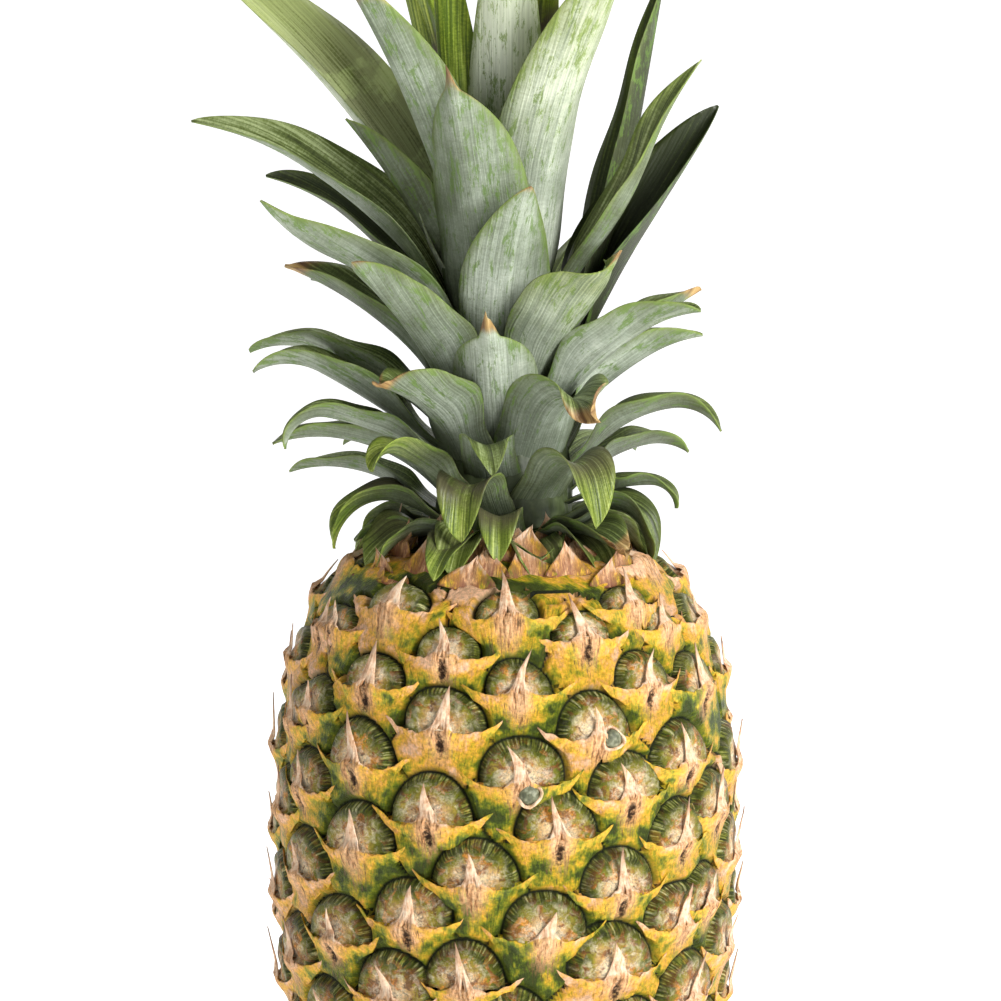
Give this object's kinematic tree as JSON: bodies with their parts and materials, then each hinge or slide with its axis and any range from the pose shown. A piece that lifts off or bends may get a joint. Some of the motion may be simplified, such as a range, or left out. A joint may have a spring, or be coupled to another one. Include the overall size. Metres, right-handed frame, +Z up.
{
  "type": "pineapple",
  "caption": "Whole fresh pineapple standing on its trimmed base: a barrel of spirally set eyes under a crown of stiff pointed leaves.",
  "frame": {"origin": "centre of the flat base that the fruit stands on", "axes": "+Z up along the fruit's axis; the front is towards -Y; +X is to the right seen from the front"},
  "size_m": [0.1558, 0.1358, 0.3497],
  "materials": {
    "rind": "fresh waxy pineapple rind, green and yellow with pinkish tan bracts",
    "core_tissue": "pale green fibrous plant stem",
    "leaf": "stiff fresh leaf with a pale grey bloom"
  },
  "bodies": {
    "root": {"fruit": "rind", "crown_core": "core_tissue", "leaf_low_front": "leaf", "leaf_low_front_left": "leaf", "leaf_low_front_right": "leaf", "leaf_low_right_yellow": "leaf", "leaf_low_right": "leaf", "leaf_low_left": "leaf", "leaf_low_left_edge": "leaf", "leaf_low_back_right": "leaf", "leaf_low_back": "leaf", "leaf_low_back_left": "leaf", "leaf_second_front_left": "leaf", "leaf_second_front_right": "leaf", "leaf_second_front": "leaf", "leaf_second_left_fold": "leaf", "leaf_second_left_low": "leaf", "leaf_second_left": "leaf", "leaf_second_left_high": "leaf", "leaf_second_right_thin": "leaf", "leaf_second_right": "leaf", "leaf_second_right_back": "leaf", "leaf_second_back_right": "leaf", "leaf_second_back": "leaf", "leaf_second_back_left": "leaf", "leaf_third_left_low": "leaf", "leaf_third_left": "leaf", "leaf_third_front_left": "leaf", "leaf_third_front_right": "leaf", "leaf_third_front": "leaf", "leaf_third_left_broad": "leaf", "leaf_third_right_broad": "leaf", "leaf_third_right_under": "leaf", "leaf_third_right_high": "leaf", "leaf_third_back_right": "leaf", "leaf_third_back": "leaf", "leaf_third_back_left": "leaf", "leaf_third_back_far_left": "leaf", "leaf_fourth_left_low": "leaf", "leaf_fourth_right_broad": "leaf", "leaf_fourth_left": "leaf", "leaf_fourth_front": "leaf", "leaf_fourth_left_dark": "leaf", "leaf_fourth_right_dark": "leaf", "leaf_fourth_left_long": "leaf", "leaf_fourth_left_upright": "leaf", "leaf_fourth_back_right": "leaf", "leaf_fourth_back": "leaf", "leaf_inner_front_left": "leaf", "leaf_inner_front_right": "leaf", "leaf_inner_right_narrow": "leaf", "leaf_inner_left": "leaf", "leaf_inner_left_long": "leaf", "leaf_inner_right_dark": "leaf", "leaf_inner_back_right": "leaf", "leaf_inner_back": "leaf", "leaf_heart_front": "leaf", "leaf_heart_left": "leaf", "leaf_heart_front_left": "leaf", "leaf_heart_right": "leaf"}
  },
  "joints": []
}
